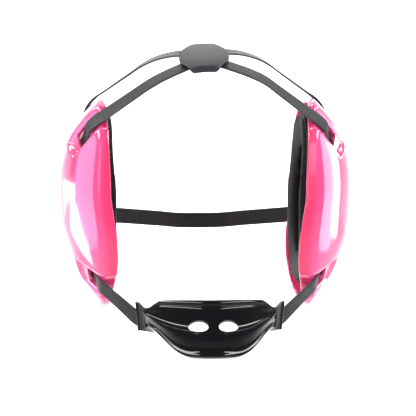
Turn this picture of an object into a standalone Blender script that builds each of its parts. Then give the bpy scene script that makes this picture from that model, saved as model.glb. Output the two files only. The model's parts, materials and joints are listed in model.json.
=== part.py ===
"""Wrestling ear guard, in the form it takes on a head: two moulded ear shells with foam pads, a crown
plate, four crown straps, two chin straps with a moulded chin cup, and a nape strap.

Lengths here are in millimetres from the point midway between the ears, with x to the wearer's left, y to
the back of the head and z up. in_frame() turns them into metres from the crown seat, which is the middle of
the crown plate's underside. Left and right are the wearer's. Pieces are worked out for the left side and
mirrored for the right.
"""

import math

import bmesh
import bpy
import numpy as np

MM = 0.001
SIDES = (("left", 1.0), ("right", -1.0))

# The head that the guard is worn on, as a guide that isn't built: the upper skull is an ellipsoid, and
# below its middle the skull goes straight down.
SKULL_CENTRE = (0.0, 2.0, 54.2)
SKULL_RADII = (72.0, 92.0, 60.0)

# Ear shell: a dome over a rounded upright outline, with a skirt that turns in to the head.
SHELL_WALL = 2.5
SHELL_MIDDLE_Z = 10.0
SHELL_HALF_WIDTH = 54.0
SHELL_UP = 66.0
SHELL_DOWN = 89.0
SHELL_SQUARENESS = 3.0
SHELL_APEX_X = 109.0
DOME_POWER = 2.3
HEARING_HOLE_RADIUS = 5.0
SHELL_COLUMNS = 56
# Around the edge: degrees from the face side upwards, x of the shoulder, x of the rim
SHELL_EDGE = (
    (0.0, 81.0, 71.0),
    (45.0, 78.5, 72.5),
    (90.0, 79.5, 77.5),
    (135.0, 78.5, 72.5),
    (180.0, 81.0, 71.0),
    (225.0, 76.5, 66.0),
    (270.0, 76.0, 74.0),
    (315.0, 76.5, 66.0),
)
# From the hearing hole to the rim: share of the outline, share of the way down the skirt
SHELL_ROWS = (
    (0.25, 0.0),
    (0.45, 0.0),
    (0.6, 0.0),
    (0.72, 0.0),
    (0.82, 0.0),
    (0.9, 0.0),
    (0.96, 0.0),
    (1.0, 0.08),
    (1.005, 0.4),
    (1.0, 0.75),
    (0.985, 1.0),
)

# Webbing and the beds that it lies in on the shell
STRAP_WIDTH = 12.0
STRAP_THICKNESS = 1.5
BED_HALF_WIDTH = 9.5
BED_TIP = 12.0
BED_STEP = 4.0
BED_SLOPE = 6.0
SLOT_LENGTH = 15.0
SLOT_WIDTH = 15.6
SLOT_DEPTH = 16.0
# Strap: slot centre y and z, direction from there to the rim in y and z, bed depth
BEDS = {
    "front": ((-34.2, 50.1), (-0.5, 0.866), 3.0),
    "rear": ((7.5, 62.0), (-0.42, 0.907), 0.6),
    "chin": ((-34.0, -56.7), (-0.86, -0.51), 3.0),
    "nape": ((35.0, -12.0), (1.0, 0.0), 1.5),
}
# Middle of the webbing from the shell's outer surface, where it lies in its bed and where it is bonded inside
IN_BED = 1.8
BONDED = -6.2
# Along the strap from the slot centre, and the middle of the webbing from the shell's outer surface there
THREADING = (
    (-14.0, BONDED),
    (-8.0, BONDED),
    (-5.0, BONDED),
    (1.0, (BONDED + IN_BED) / 2.0),
    (7.0, IN_BED),
    (11.0, IN_BED),
)
# Where the rear strap has turned over the shoulder of the shell: x, y, z and the way it faces
REAR_STRAP_TURN = (82.0, 1.8, 75.8, 0.53, 0.0, 0.85)
# Where the nape strap has turned over the shoulder of the shell: x, y, z and the way it faces in plan
NAPE_STRAP_TURN = ((82.6, 54.4, -13.4, 0.94, 0.34), (79.6, 57.6, -13.8, 0.62, 0.78))

# Ear pad: a foam ring inside the shell
PAD_HALF_WIDTH = 47.5
PAD_TOP_Z = 66.0
PAD_BOTTOM_Z = -63.0
PAD_HOLE_HALF_WIDTH = 27.0
PAD_HOLE_HALF_HEIGHT = 38.0
PAD_SQUARENESS = 3.0
PAD_EDGE = 3.0
PAD_COLUMNS = 44
# Around the ring: degrees from the face side upwards, x of the head side, x of the shell side
PAD_FACES = (
    (0.0, 64.5, 76.5),
    (60.0, 67.5, 77.0),
    (90.0, 69.5, 77.0),
    (120.0, 67.5, 77.0),
    (180.0, 64.5, 76.5),
    (270.0, 65.5, 74.0),
)
PAD_HOLLOWING = 3.0

# Crown plate
PLATE_MIDDLE_Y = -49.0
PLATE_TILT = 23.0
PLATE_HALF_WIDTH = 16.8
PLATE_HALF_LENGTH = 18.4
PLATE_CHAMFER_ACROSS = 8.7
PLATE_CHAMFER_FRONT = 12.5
PLATE_CHAMFER_REAR = 13.5
PLATE_THICKNESS = 3.0
PLATE_OVER_HEAD = 2.7
STRAP_OVER_HEAD = 0.2
PLATE_EDGE_STEPS = 4

# The guard sits a little to the right on the head, which moves the plate and the upper ends of its straps
CROWN_SHIFT = -3.5
SHIFT_FADES_OVER = 84.0
# Where the crown straps lie on the head, from under the plate: x and y
FRONT_STRAP_ON_HEAD = ((9.5, -57.2), (18.0, -59.4), (30.0, -59.0), (42.0, -55.4))
REAR_STRAP_ON_HEAD = ((9.8, -39.9), (18.0, -34.0), (32.0, -23.5), (46.0, -12.0), (57.0, -4.0))
# Where the nape strap lies on the head: x, y and z
NAPE_STRAP_ON_HEAD = ((34.0, 84.0, -19.0), (18.0, 92.5, -21.0), (0.0, 95.2, -21.5))
STRAP_SPACING = 4.5
# A gap between knots longer than this is taut webbing, straight up to this far from its ends
IN_THE_AIR = 22.0
TAUT_END = 6.0

# Chin cup: a wall along a curved path round the chin, with a fold that makes a crest across it
CUP_HALF_WIDTH = 53.0
CUP_FRONT_Y = -105.0
CUP_REACH = 40.0
CUP_BEND = 30.0
CUP_BODY_HALF = 48.0
CUP_WALL = 2.2
CUP_STATIONS = 41
TAB_TOP_Z = -74.0
TAB_BOTTOM_Z = -88.6
TAB_CORNER_RISE = 3.5
TAB_LEAN = -1.4
TAB_SETBACK = 6.5
# Down the cup's outer side and back up its inner side: forward of the path in the middle, z in the middle,
# share of the tab's height, forward at the tab, and how suddenly the point comes to its middle place
CUP_PROFILE = (
    (0.0, -63.2, 0.0, 0.0, 0.42),
    (1.6, -68.0, 0.13, 0.0, 0.6),
    (3.2, -74.0, 0.25, 0.0, 0.9),
    (5.6, -80.0, 0.33, 0.0, 1.2),
    (8.4, -85.6, 0.38, 0.0, 1.3),
    (10.8, -86.2, 0.41, 0.0, 1.3),
    (12.2, -83.4, 0.44, 0.0, 1.3),
    (14.2, -85.6, 0.52, 0.0, 1.3),
    (14.8, -93.0, 0.68, 0.0, 1.3),
    (12.2, -99.5, 0.84, 0.0, 1.3),
    (7.4, -103.6, 0.95, 0.0, 1.3),
    (2.5, -104.6, 1.0, 0.0, 1.3),
    (2.3, -102.2, 1.0, -2.2, 1.3),
    (6.2, -101.2, 0.93, -2.2, 1.3),
    (10.0, -97.6, 0.8, -2.2, 1.3),
    (12.2, -92.4, 0.68, -2.2, 1.3),
    (11.6, -89.2, 0.58, -2.2, 1.3),
    (7.6, -88.2, 0.46, -2.2, 1.3),
    (3.4, -81.2, 0.33, -2.2, 1.2),
    (1.0, -74.6, 0.25, -2.2, 0.9),
    (-0.6, -68.4, 0.13, -2.2, 0.6),
    (-2.2, -63.6, 0.0, -2.2, 0.42),
)
# How far the chin strap is behind the tab, and its middle there: x and z
STRAP_BEHIND_TAB = 0.8
CHIN_STRAP_AT_TAB = ((56.5, -80.0), (50.5, -82.8), (45.0, -84.4))
# Vent holes through the cup's upper panel
VENT_X = 10.4
VENT_Y = -111.0
VENT_Z = -80.6
VENT_HALF_WIDTH = 7.4
VENT_HALF_HEIGHT = 4.6
VENT_TURN = 14.0
VENT_PITCH = 38.0
VENT_CUT_LENGTH = 16.0

# Piece: colour in linear RGB, roughness
LOOKS = {
    "shell": ((0.83, 0.05, 0.24), 0.18),
    "pad": ((0.012, 0.012, 0.013), 0.85),
    "webbing": ((0.025, 0.026, 0.028), 0.6),
    "plate": ((0.06, 0.06, 0.064), 0.7),
    "cup": ((0.006, 0.006, 0.007), 0.12),
}


def skull_z(x, y):
    """Height of the guide skull's top surface over a place in plan."""
    across = ((x - SKULL_CENTRE[0]) / SKULL_RADII[0]) ** 2
    along = ((y - SKULL_CENTRE[1]) / SKULL_RADII[1]) ** 2
    return SKULL_CENTRE[2] + SKULL_RADII[2] * math.sqrt(1.0 - across - along)


def skull_normal(point):
    """Outward direction of the guide skull at a point, level where the skull goes straight down."""
    away = (np.array(point) - SKULL_CENTRE) / np.square(SKULL_RADII)
    away[2] = max(away[2], 0.0)
    return away / np.linalg.norm(away)


def over_skull(x, y, offset):
    """A point this far over the guide skull, and the outward direction there."""
    foot = np.array((x, y, skull_z(x, y)))
    away = skull_normal(foot)
    return foot + away * offset, away


CROWN_SEAT = over_skull(CROWN_SHIFT, PLATE_MIDDLE_Y, PLATE_OVER_HEAD)[0]


def in_frame(points):
    return (np.asarray(points, float) - CROWN_SEAT) * MM


def smoothstep(value):
    value = np.clip(value, 0.0, 1.0)
    return value * value * (3.0 - 2.0 * value)


def eased_table(rows, degrees):
    """Each column of a table of stations round a loop, read between them with a smooth rise and fall."""
    rows = np.array(rows)
    degrees = np.asarray(degrees) % 360.0
    following = np.roll(rows, -1, axis=0)
    following[-1, 0] += 360.0
    place = np.searchsorted(rows[:, 0], degrees, side="right") - 1
    share = (degrees - rows[place, 0]) / (following[place, 0] - rows[place, 0])
    share = smoothstep(share)[..., None]
    return rows[place, 1:] * (1.0 - share) + following[place, 1:] * share


def superellipse(angle, half_width, half_height, squareness):
    """Distance from the middle to the outline in this direction."""
    across = np.abs(np.cos(angle) / half_width) ** squareness
    upright = np.abs(np.sin(angle) / half_height) ** squareness
    return (across + upright) ** (-1.0 / squareness)


def shell_outline(angle):
    half_height = np.where(np.sin(angle) > 0.0, SHELL_UP, SHELL_DOWN)
    return superellipse(angle, SHELL_HALF_WIDTH, half_height, SHELL_SQUARENESS)


def shell_surface(angle, share, drop):
    """Outer surface of the plain shell, without its strap beds."""
    shoulder, rim = np.moveaxis(eased_table(SHELL_EDGE, np.degrees(angle)), -1, 0)
    radius = shell_outline(angle) * share
    dome = shoulder + (SHELL_APEX_X - shoulder) * (1.0 - np.minimum(share, 1.0) ** DOME_POWER)
    x = dome - drop * (dome - rim)
    return np.stack([x, -np.cos(angle) * radius, SHELL_MIDDLE_Z + np.sin(angle) * radius], -1)


def bed_depth(y, z):
    """How far the surface is sunk at a place in the side view."""
    deepest = np.zeros_like(y)
    for slot, to_rim, depth in BEDS.values():
        along = (y - slot[0]) * to_rim[0] + (z - slot[1]) * to_rim[1]
        across = (z - slot[1]) * to_rim[0] - (y - slot[0]) * to_rim[1]
        step = np.where(across > 0.0, BED_STEP, BED_SLOPE)
        sides = smoothstep((BED_HALF_WIDTH - np.abs(across)) / step + 0.5)
        tip = smoothstep((along + BED_TIP) / BED_STEP + 0.5)
        deepest = np.maximum(deepest, depth * sides * tip)
    return deepest


def shell_at(y, z):
    """Outer surface at a place in the side view, with its beds, and the outward direction."""
    def plain(y, z):
        angle = math.atan2(z - SHELL_MIDDLE_Z, -y)
        share = math.hypot(y, z - SHELL_MIDDLE_Z) / shell_outline(angle)
        return shell_surface(angle, share, 0.0)

    step = 0.5
    by_y = plain(y + step, z) - plain(y - step, z)
    by_z = plain(y, z + step) - plain(y, z - step)
    away = np.cross(by_y, by_z)
    away /= np.linalg.norm(away)
    return plain(y, z) - away * bed_depth(np.array(y), np.array(z)), away


def grid_normals(grid):
    """Direction out of a grid of rows and columns at each point; the columns close round."""
    by_column = np.roll(grid, -1, axis=1) - np.roll(grid, 1, axis=1)
    by_row = np.gradient(grid, axis=0)
    normals = np.cross(by_column, by_row)
    return normals / np.linalg.norm(normals, axis=-1, keepdims=True)


def pulled_straight(knots):
    """The knots with two more along each long gap, where the strap is in the air."""
    knots = np.array(knots, float)
    taut = [knots[0]]
    for near, far in zip(knots, knots[1:]):
        length = np.linalg.norm(far[:3] - near[:3])
        if length > IN_THE_AIR:
            taut += [near + (far - near) * share for share in (TAUT_END / length, 1.0 - TAUT_END / length)]
        taut.append(far)
    return np.array(taut)


def smooth_path(knots, spacing):
    """Samples of a smooth curve through the knots, whose first three columns are the place."""
    knots = pulled_straight(knots)
    lengths = np.linalg.norm(np.diff(knots[:, :3], axis=0), axis=1)
    times = np.concatenate([[0.0], np.cumsum(lengths)])
    slopes = np.gradient(knots, times, axis=0)
    samples = []
    for i, length in enumerate(lengths):
        step = times[i + 1] - times[i]
        for share in np.arange(0.0, 1.0, 1.0 / max(1, round(length / spacing))):
            start = (1.0 + 2.0 * share) * (1.0 - share) ** 2
            end = share * share * (3.0 - 2.0 * share)
            samples.append(
                start * knots[i]
                + end * knots[i + 1]
                + share * (1.0 - share) ** 2 * step * slopes[i]
                - share * share * (1.0 - share) * step * slopes[i + 1]
            )
    return np.array(samples + [knots[-1]])


def threaded_knots(strap, stations=THREADING):
    """The strap's way out of its shell: from its tail inside, through the slot, over the bed to the rim."""
    slot, to_rim, _ = BEDS[strap]
    knots = []
    for along, offset in stations:
        point, away = shell_at(slot[0] + along * to_rim[0], slot[1] + along * to_rim[1])
        knots.append([*(point + away * offset), *away])
    return knots


def crown_strap_knots(start, on_head, side):
    knots = list(start)
    for x, y in reversed(on_head):
        shifted = x + CROWN_SHIFT * side * (1.0 - x / SHIFT_FADES_OVER)
        point, away = over_skull(shifted, y, STRAP_OVER_HEAD + STRAP_THICKNESS / 2.0)
        knots.append([*point, *away])
    return knots


def chin_strap_knots():
    knots = threaded_knots("chin", THREADING[:-1])
    behind = -(CUP_WALL + STRAP_BEHIND_TAB + STRAP_THICKNESS / 2.0)
    tab_top = TAB_TOP_Z + TAB_CORNER_RISE / 2.0
    tilt = TAB_SETBACK / (tab_top - TAB_BOTTOM_Z)
    for x, z in CHIN_STRAP_AT_TAB:
        point, ahead = cup_path(x, behind - tilt * (tab_top - z))
        knots.append([point[0], point[1], z, *ahead[:2], -tilt])
    return knots


def nape_strap_knots():
    left = threaded_knots("nape")
    for x, y, z, across, along in NAPE_STRAP_TURN:
        left.append([x, y, z, across, along, 0.0])
    for place in NAPE_STRAP_ON_HEAD:
        left.append([*place, *skull_normal(place)])
    right = [[-x, y, z, -across, along, up] for x, y, z, across, along, up in left[-2::-1]]
    return left + right


def ribbon_rings(knots):
    """Rectangular sections of flat webbing along a path, which faces the way its knots say."""
    path = smooth_path(knots, STRAP_SPACING)
    points = path[:, :3]
    along = np.gradient(points, axis=0)
    sideways = np.cross(path[:, 3:], along)
    sideways *= STRAP_WIDTH / 2.0 / np.linalg.norm(sideways, axis=1, keepdims=True)
    outward = np.cross(along, sideways)
    outward *= STRAP_THICKNESS / 2.0 / np.linalg.norm(outward, axis=1, keepdims=True)
    corners = (sideways + outward, outward - sideways, -sideways - outward, sideways - outward)
    return np.stack([points + corner for corner in corners], axis=1)


def cup_path(x, forward):
    """A point in plan beside the cup's path, and the level direction forward from the path."""
    scale = CUP_REACH / (math.hypot(1.0, CUP_HALF_WIDTH / CUP_BEND) - 1.0)
    stretch = math.hypot(1.0, x / CUP_BEND)
    slope = scale * x / (CUP_BEND**2 * stretch)
    ahead = np.array((slope, -1.0, 0.0)) / math.hypot(slope, 1.0)
    return np.array((x, CUP_FRONT_Y + scale * (stretch - 1.0), 0.0)) + ahead * forward, ahead


def cup_rings():
    rings = []
    for x in np.linspace(-CUP_HALF_WIDTH, CUP_HALF_WIDTH, CUP_STATIONS):
        middle = max(1.0 - (x / CUP_BODY_HALF) ** 2, 0.0)
        corner = smoothstep((abs(x) - CUP_BODY_HALF + 1.0) / (CUP_HALF_WIDTH - CUP_BODY_HALF + 1.0))
        top = TAB_TOP_Z + TAB_CORNER_RISE * corner
        ring = []
        for forward, middle_z, tab_share, tab_forward, suddenness in CUP_PROFILE:
            tab_z = top + (TAB_BOTTOM_Z - top) * tab_share
            lean = math.copysign(TAB_LEAN * tab_share * corner, x)
            set_back = TAB_SETBACK * tab_share * (1.0 - middle)
            point, _ = cup_path(x - lean, tab_forward + (forward - tab_forward) * middle - set_back)
            point[2] = tab_z + (middle_z - tab_z) * middle**suddenness
            ring.append(point)
        rings.append(ring)
    return np.array(rings)


def vent_rings(side):
    """Sections of the oval cutter for one vent, along the way through the upper panel."""
    turn, pitch = math.radians(VENT_TURN * side), math.radians(VENT_PITCH)
    through = np.array((0.0, -math.cos(pitch), math.sin(pitch)))
    level = np.array((1.0, 0.0, 0.0))
    upright = np.cross(level, through)
    wide = level * math.cos(turn) - upright * math.sin(turn)
    tall = np.cross(through, wide)
    angles = np.linspace(0.0, math.tau, 16, endpoint=False)[:, None]
    oval = wide * VENT_HALF_WIDTH * np.cos(angles) + tall * VENT_HALF_HEIGHT * np.sin(angles)
    middle = np.array((VENT_X * side, VENT_Y, VENT_Z))
    ends = (-VENT_CUT_LENGTH / 2.0, VENT_CUT_LENGTH / 4.0)
    return np.stack([middle + oval + through * end for end in ends])


def slot_rings(strap):
    """Sections of the cutter for a strap's slot, along the way through the wall."""
    slot, to_rim, _ = BEDS[strap]
    middle, away = shell_at(*slot)
    ahead, _ = shell_at(slot[0] + to_rim[0], slot[1] + to_rim[1])
    across = np.cross(away, ahead - middle)
    across /= np.linalg.norm(across)
    along = np.cross(across, away)
    rings = []
    for depth in (-SLOT_DEPTH / 2.0, SLOT_DEPTH / 2.0):
        corners = ((1, 1), (-1, 1), (-1, -1), (1, -1))
        half = (SLOT_LENGTH / 2.0, SLOT_WIDTH / 2.0)
        rings.append([middle + away * depth + along * half[0] * a + across * half[1] * b for a, b in corners])
    return np.array(rings)


def shell_rings():
    """The wall as rows round the ear: down the outside from the hearing hole, and back up the inside."""
    angles = np.linspace(0.0, math.tau, SHELL_COLUMNS, endpoint=False)
    hole = HEARING_HOLE_RADIUS / shell_outline(angles)
    rows = [shell_surface(angles, hole, 0.0)]
    for share, drop in SHELL_ROWS:
        rows.append(shell_surface(angles, np.full_like(angles, share), drop))
    plain = np.array(rows)
    inward = -grid_normals(plain)
    outer = plain + inward * bed_depth(plain[..., 1], plain[..., 2])[..., None]
    inner = outer + inward * SHELL_WALL
    return np.concatenate([outer, inner[::-1]])


def pad_rings():
    """The foam ring as rows round the ear, from its outer edge over its head side and back."""
    angles = np.linspace(0.0, math.tau, PAD_COLUMNS, endpoint=False)
    head_side, shell_side = np.moveaxis(eased_table(PAD_FACES, np.degrees(angles)), -1, 0)
    half_height = (PAD_TOP_Z - PAD_BOTTOM_Z) / 2.0
    middle_z = (PAD_TOP_Z + PAD_BOTTOM_Z) / 2.0
    outer = superellipse(angles, PAD_HALF_WIDTH, half_height, PAD_SQUARENESS)
    inner = superellipse(angles, PAD_HOLE_HALF_WIDTH, PAD_HOLE_HALF_HEIGHT, PAD_SQUARENESS)
    hollow = head_side + PAD_HOLLOWING
    section = (
        (outer, head_side + PAD_EDGE),
        (outer - PAD_EDGE, head_side),
        (inner + PAD_EDGE, hollow),
        (inner, hollow + PAD_EDGE),
        (inner, shell_side - PAD_EDGE),
        (inner + PAD_EDGE, shell_side),
        (outer - PAD_EDGE, shell_side),
        (outer, shell_side - PAD_EDGE),
    )
    rows = [
        np.stack([x, -np.cos(angles) * radius, middle_z + np.sin(angles) * radius], -1) for radius, x in section
    ]
    return np.array(rows)


def plate_outline():
    """The octagon's edge in its own plane: across, and along towards the back."""
    side, narrow = PLATE_HALF_WIDTH, PLATE_HALF_WIDTH - PLATE_CHAMFER_ACROSS
    rear, front = PLATE_HALF_LENGTH, -PLATE_HALF_LENGTH
    corners = [
        (side, front + PLATE_CHAMFER_FRONT),
        (side, rear - PLATE_CHAMFER_REAR),
        (narrow, rear),
        (-narrow, rear),
        (-side, rear - PLATE_CHAMFER_REAR),
        (-side, front + PLATE_CHAMFER_FRONT),
        (-narrow, front),
        (narrow, front),
    ]
    corners = np.array(corners)
    shares = np.arange(PLATE_EDGE_STEPS)[:, None] / PLATE_EDGE_STEPS
    edges = [a + (b - a) * shares for a, b in zip(corners, np.roll(corners, -1, axis=0))]
    return np.concatenate(edges)


def plate_rings():
    """Rows round the plate: from the middle of its top, over its edge, to the middle of its underside."""
    outline = plate_outline()
    bottom, top = PLATE_OVER_HEAD, PLATE_OVER_HEAD + PLATE_THICKNESS
    rows = (
        (0.1, top),
        (0.55, top),
        (0.95, top),
        (1.0, top - 0.9),
        (1.0, bottom + 0.6),
        (0.97, bottom),
        (0.55, bottom),
        (0.1, bottom),
    )
    lengthways = math.cos(math.radians(PLATE_TILT))
    rings = []
    for share, offset in rows:
        places = outline * share * (1.0, lengthways) + (CROWN_SHIFT, PLATE_MIDDLE_Y)
        rings.append([over_skull(x, y, offset)[0] for x, y in places])
    return np.array(rings)


def material(name):
    colour, roughness = LOOKS[name]
    made = bpy.data.materials.get(name) or bpy.data.materials.new(name)
    made.use_nodes = True
    surface = made.node_tree.nodes["Principled BSDF"]
    surface.inputs["Base Color"].default_value = (*colour, 1.0)
    surface.inputs["Roughness"].default_value = roughness
    surface.inputs["Metallic"].default_value = 0.0
    return made


def lofted(name, rings, look, side=1.0, closed=False):
    """A closed body skinned over rings of points. The rings close on each other, or the end ones are capped."""
    rings = in_frame(rings * np.array((side, 1.0, 1.0)))
    mesh = bpy.data.meshes.new(name)
    shape = bmesh.new()
    rows = [[shape.verts.new(point) for point in ring] for ring in rings]
    pairs = list(zip(rows, rows[1:]))
    if closed:
        pairs.append((rows[-1], rows[0]))
    else:
        shape.faces.new(rows[0])
        shape.faces.new(rows[-1])
    for near, far in pairs:
        for i in range(len(near)):
            j = (i + 1) % len(near)
            shape.faces.new((near[i], near[j], far[j], far[i]))
    bmesh.ops.recalc_face_normals(shape, faces=shape.faces)
    shape.to_mesh(mesh)
    shape.free()
    mesh.shade_smooth()
    mesh.set_sharp_from_angle(angle=math.radians(40.0))
    made = bpy.data.objects.new(name, mesh)
    bpy.context.scene.collection.objects.link(made)
    if look:
        mesh.materials.append(material(look))
    return made


def cut(target, name, rings, side=1.0):
    """Takes the shape skinned over these rings out of the target."""
    cutter = lofted(name, rings, None, side)
    cutter.hide_render = True
    cutter.display_type = "WIRE"
    modifier = target.modifiers.new(name, "BOOLEAN")
    modifier.operation = "DIFFERENCE"
    modifier.object = cutter


def build_ear(side_name, side):
    shell = lofted(f"shell_{side_name}", shell_rings(), "shell", side, closed=True)
    for strap in BEDS:
        cut(shell, f"{strap}_slot_cutter_{side_name}", slot_rings(strap), side)
    lofted(f"ear_pad_{side_name}", pad_rings(), "pad", side, closed=True)


def build_straps(side_name, side):
    rear_start = threaded_knots("rear", THREADING[:-1]) + [REAR_STRAP_TURN]
    straps = {
        "front_strap": crown_strap_knots(threaded_knots("front"), FRONT_STRAP_ON_HEAD, side),
        "rear_strap": crown_strap_knots(rear_start, REAR_STRAP_ON_HEAD, side),
        "chin_strap": chin_strap_knots(),
    }
    for name, knots in straps.items():
        lofted(f"{name}_{side_name}", ribbon_rings(knots), "webbing", side)


def build_cup():
    cup = lofted("chin_cup", cup_rings(), "cup")
    for side_name, side in SIDES:
        cut(cup, f"vent_cutter_{side_name}", vent_rings(side))


def main():
    for old in list(bpy.data.objects):
        bpy.data.objects.remove(old)
    for side_name, side in SIDES:
        build_ear(side_name, side)
        build_straps(side_name, side)
    lofted("nape_strap", ribbon_rings(nape_strap_knots()), "webbing")
    lofted("crown_plate", plate_rings(), "plate")
    build_cup()


main()
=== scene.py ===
# %% [markdown]
# # A wrestling ear guard
#
# A wrestler's ear guard is a pair of hard moulded shells with foam rings inside. Webbing holds them: over
# the crown, round the nape, and down to a soft chin cup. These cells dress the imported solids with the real
# surfaces: moulded plastic, woven webbing, rubber, vinyl and cloth over foam.
#
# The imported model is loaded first, because every piece has to sit where its solid sits.

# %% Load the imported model
import json
import math

import bmesh
import bpy
import numpy as np
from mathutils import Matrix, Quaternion, Vector

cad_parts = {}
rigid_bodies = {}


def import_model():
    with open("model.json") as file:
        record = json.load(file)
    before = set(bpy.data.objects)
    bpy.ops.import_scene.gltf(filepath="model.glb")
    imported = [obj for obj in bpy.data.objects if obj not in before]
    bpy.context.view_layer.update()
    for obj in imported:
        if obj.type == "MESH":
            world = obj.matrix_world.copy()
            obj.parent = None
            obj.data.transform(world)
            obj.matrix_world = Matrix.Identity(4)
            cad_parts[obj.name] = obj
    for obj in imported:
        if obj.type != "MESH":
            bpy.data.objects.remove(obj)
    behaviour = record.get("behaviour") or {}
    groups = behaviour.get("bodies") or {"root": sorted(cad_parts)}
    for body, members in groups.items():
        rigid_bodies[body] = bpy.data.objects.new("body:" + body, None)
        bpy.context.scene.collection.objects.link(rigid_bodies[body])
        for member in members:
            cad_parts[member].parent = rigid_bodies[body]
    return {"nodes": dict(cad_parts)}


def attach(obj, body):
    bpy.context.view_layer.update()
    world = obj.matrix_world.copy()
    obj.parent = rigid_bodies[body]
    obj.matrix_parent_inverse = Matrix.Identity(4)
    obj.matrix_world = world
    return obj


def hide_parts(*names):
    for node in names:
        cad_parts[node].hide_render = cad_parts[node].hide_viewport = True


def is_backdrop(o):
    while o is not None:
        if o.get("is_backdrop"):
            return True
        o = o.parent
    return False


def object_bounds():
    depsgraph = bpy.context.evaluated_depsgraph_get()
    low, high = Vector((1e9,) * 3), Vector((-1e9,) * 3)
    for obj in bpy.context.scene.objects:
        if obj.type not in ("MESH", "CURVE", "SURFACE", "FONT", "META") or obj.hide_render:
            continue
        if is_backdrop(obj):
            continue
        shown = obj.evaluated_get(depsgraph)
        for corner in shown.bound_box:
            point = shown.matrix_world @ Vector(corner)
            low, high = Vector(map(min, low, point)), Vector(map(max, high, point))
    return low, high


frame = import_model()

SOLIDS_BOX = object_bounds()
print("solids:", sorted(frame["nodes"]))

# %% [markdown]
# The sizes below are in millimetres from the point midway between the ears: x to the wearer's left, y to
# the back of the head, z up. Thinking from the ears makes both sides the same numbers with x mirrored.
# `place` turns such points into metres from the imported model's origin, which is under the crown plate.

# %% From ear millimetres to the model's metres
MM = 0.001
CROWN_SEAT = np.array((-3.6206, -50.0762, 106.5252))


def place(points):
    return (np.asarray(points, float) - CROWN_SEAT) * MM


def unit(vectors):
    return vectors / np.linalg.norm(vectors, axis=-1, keepdims=True)


print("ear middle in the model:", place((0.0, 0.0, 0.0)).round(4))

# %% [markdown]
# Most pieces are a skin over rows of points: rings round an ear, or sections along a strap. One function
# does it for all of them. It turns the skin the right way out by the sign of its volume, which is safer
# than recalculating normals on a thin closed wall.

# %% Skin over rows of points


def signed_volume(points, faces):
    corners = points[np.array(faces)]
    first, second, third, fourth = (corners[:, i] for i in range(4))
    halves = np.cross(second, third) + np.cross(third, fourth)
    return float(np.einsum("ij,ij->", first, halves)) / 6.0


def grid_faces(rows, columns, closed_rows):
    row, column = np.meshgrid(np.arange(rows if closed_rows else rows - 1), np.arange(columns), indexing="ij")
    next_row, next_column = (row + 1) % rows, (column + 1) % columns
    quads = (row, column), (row, next_column), (next_row, next_column), (next_row, column)
    return np.stack([r * columns + c for r, c in quads], -1).reshape(-1, 4)


def new_piece(name, points, edges, faces):
    mesh = bpy.data.meshes.new(name)
    mesh.from_pydata(points, edges, faces)
    return link_piece(name, mesh)


def link_piece(name, data):
    piece = bpy.data.objects.new(name, data)
    bpy.context.scene.collection.objects.link(piece)
    return piece


def skin(name, grid, side=1.0, closed_rows=False, marks=None):
    """A closed body over a grid of points whose columns go round. Open rows get a fan at each end."""
    grid = np.array(grid, float) * (side, 1.0, 1.0)
    rows, columns = grid.shape[:2]
    points = place(grid.reshape(-1, 3))
    faces = grid_faces(rows, columns, closed_rows).tolist()
    if signed_volume(points, faces) < 0.0:
        faces = [face[::-1] for face in faces]
    piece = new_piece(name, points.tolist(), [], faces)
    mesh = piece.data
    if not closed_rows:
        close_ends(mesh)
    for label, values in (marks or {}).items():
        layer = mesh.attributes.new(label, "FLOAT", "POINT")
        layer.data.foreach_set("value", np.asarray(values, np.float32).reshape(-1))
    mesh.shade_smooth()
    return piece


def close_ends(mesh):
    shape = bmesh.new()
    shape.from_mesh(mesh)
    bmesh.ops.holes_fill(shape, edges=[edge for edge in shape.edges if edge.is_boundary])
    shape.to_mesh(mesh)
    shape.free()


def report(piece):
    size = [round(length / MM, 1) for length in piece.dimensions]
    print(f"{piece.name}: {len(piece.data.polygons)} faces, {size} mm")


print("skin() is ready")

# %% [markdown]
# ## Materials
#
# A colour is given as the hex value that a screen shows, and one function turns it to the linear values
# that a shader works in. One more function adds a node with its settings and links. The textures that
# most materials need are functions too, so each material below reads as a list of what it is made of.

# %% Helpers for materials


def linear(hex_colour):
    channels = [int(hex_colour[i:i + 2], 16) / 255.0 for i in (1, 3, 5)]
    return (*(c / 12.92 if c <= 0.04045 else ((c + 0.055) / 1.055) ** 2.4 for c in channels), 1.0)


def add_node(tree, kind, settings=None, **inputs):
    """Adds a node. An input is a value, or a socket of another node to link from."""
    node = tree.nodes.new(kind)
    for name, value in (settings or {}).items():
        setattr(node, name, value)
    for name, value in inputs.items():
        key = int(name[1:]) if name[0] == "_" and name[1:].isdigit() else name.replace("_", " ")
        if isinstance(value, bpy.types.NodeSocket):
            tree.links.new(value, node.inputs[key])
        else:
            node.inputs[key].default_value = value
    return node


def new_material(name):
    material = bpy.data.materials.new(name)
    material.use_nodes = True
    material.node_tree.nodes.clear()
    return material, material.node_tree


def finish_material(tree, **surface):
    shader = add_node(tree, "ShaderNodeBsdfPrincipled", **surface)
    add_node(tree, "ShaderNodeOutputMaterial", Surface=shader.outputs["BSDF"])


def on_piece(tree):
    """The place on the piece, in metres."""
    return add_node(tree, "ShaderNodeTexCoord").outputs["Object"]


def noise(tree, scale, detail):
    """Soft random patches. The scale is about how many go into a metre."""
    patches = add_node(tree, "ShaderNodeTexNoise", Vector=on_piece(tree), Scale=scale, Detail=detail)
    return patches.outputs["Fac"]


def mixed(tree, share, first, second):
    mix = add_node(tree, "ShaderNodeMix", {"data_type": "RGBA"}, Factor=share, _6=first, _7=second)
    return mix.outputs[2]


def bumped(tree, height, strength, depth, inwards=False):
    """Normals as if the surface rose with the height, by up to the depth in metres."""
    bump = add_node(
        tree, "ShaderNodeBump", {"invert": inwards}, Height=height, Strength=strength, Distance=depth,
    )
    return bump.outputs["Normal"]


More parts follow.
